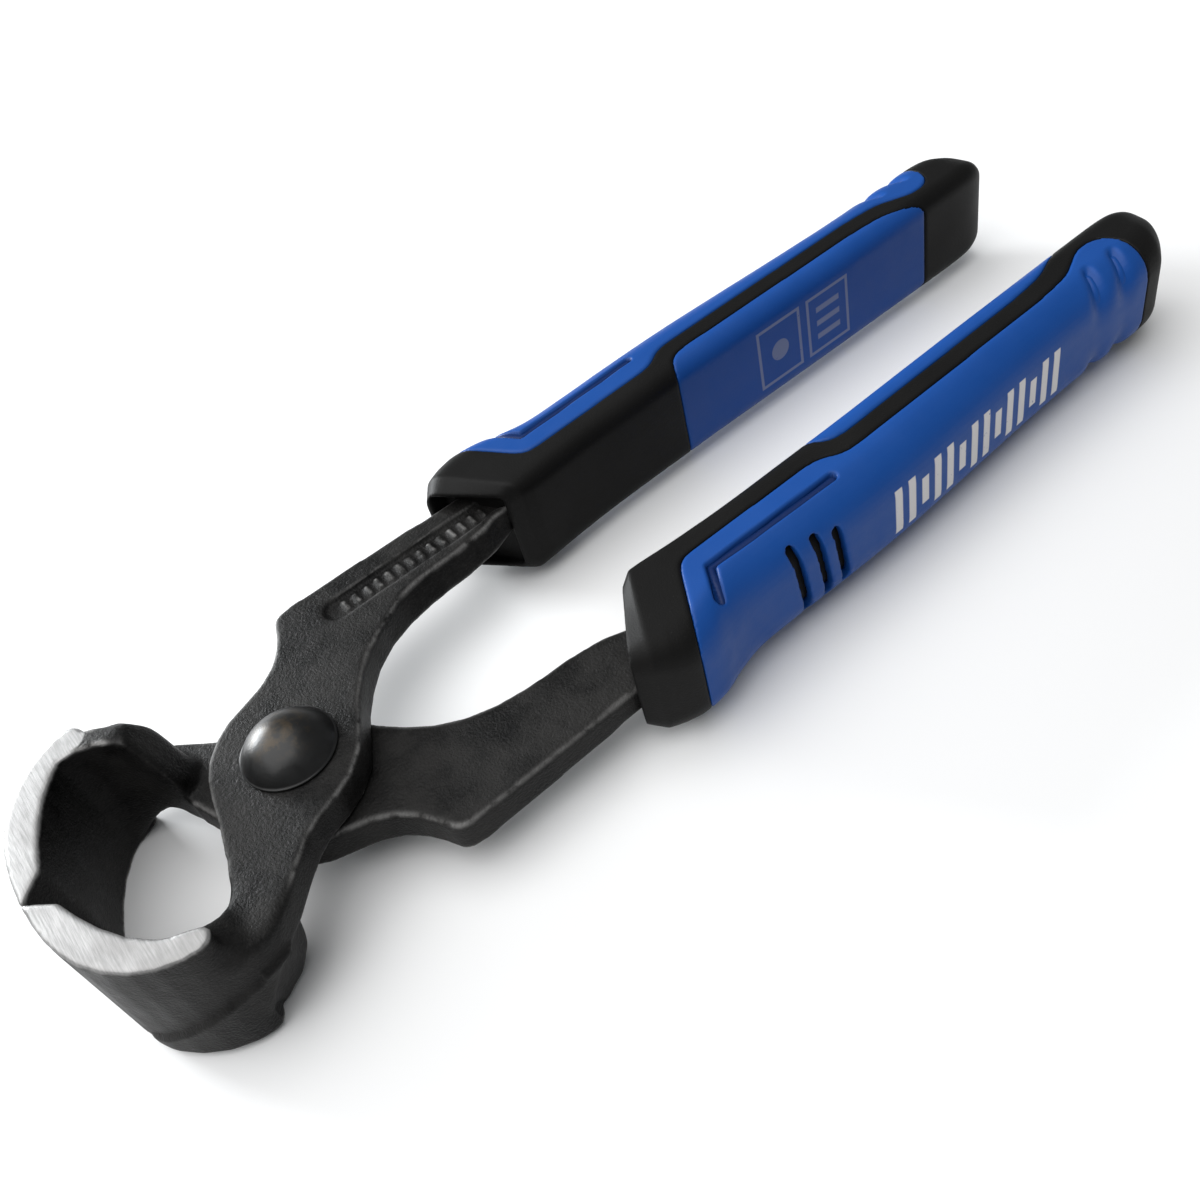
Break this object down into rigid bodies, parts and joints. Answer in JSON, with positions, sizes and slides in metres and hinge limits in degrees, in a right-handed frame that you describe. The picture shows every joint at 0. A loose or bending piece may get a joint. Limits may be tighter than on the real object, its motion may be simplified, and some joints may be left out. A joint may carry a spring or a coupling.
{
  "type": "pincers",
  "caption": "End-cutting carpenter's pincers with lapped forged arms on a domed rivet, wide curved jaws with ground rims and two-colour soft-panel grips.",
  "frame": {"origin": "under the middle of the closed tool's bounding box, on the plane of the jaws' lower rims", "axes": "+X from the jaws to the handle ends, +Z along the rivet axis, +Y towards the upper arm's handle"},
  "size_m": [0.2, 0.0614, 0.023],
  "materials": {
    "forged_steel": "black oxide over a fine forged grain, with bright ground faces on the jaw rims",
    "rivet_steel": "smooth satin black oxide",
    "core_plastic": "fine matte moulded grain",
    "soft_panel": "smooth semi-matte soft moulding"
  },
  "bodies": {
    "lower_half": {"lower_arm": "forged_steel", "pivot_rivet": "rivet_steel", "lower_grip_core": "core_plastic", "lower_outer_panel": "soft_panel", "lower_inner_panel": "soft_panel"},
    "upper_half": {"upper_arm": "forged_steel", "upper_grip_core": "core_plastic", "upper_outer_panel": "soft_panel", "upper_inner_panel": "soft_panel"}
  },
  "joints": [
    {"name": "jaw_pivot", "type": "hinge", "parent": "lower_half", "child": "upper_half", "pos_m": [-0.063, 0, 0.0115], "axis": [0, 0, 1], "range_deg": [0, 45]}
  ]
}
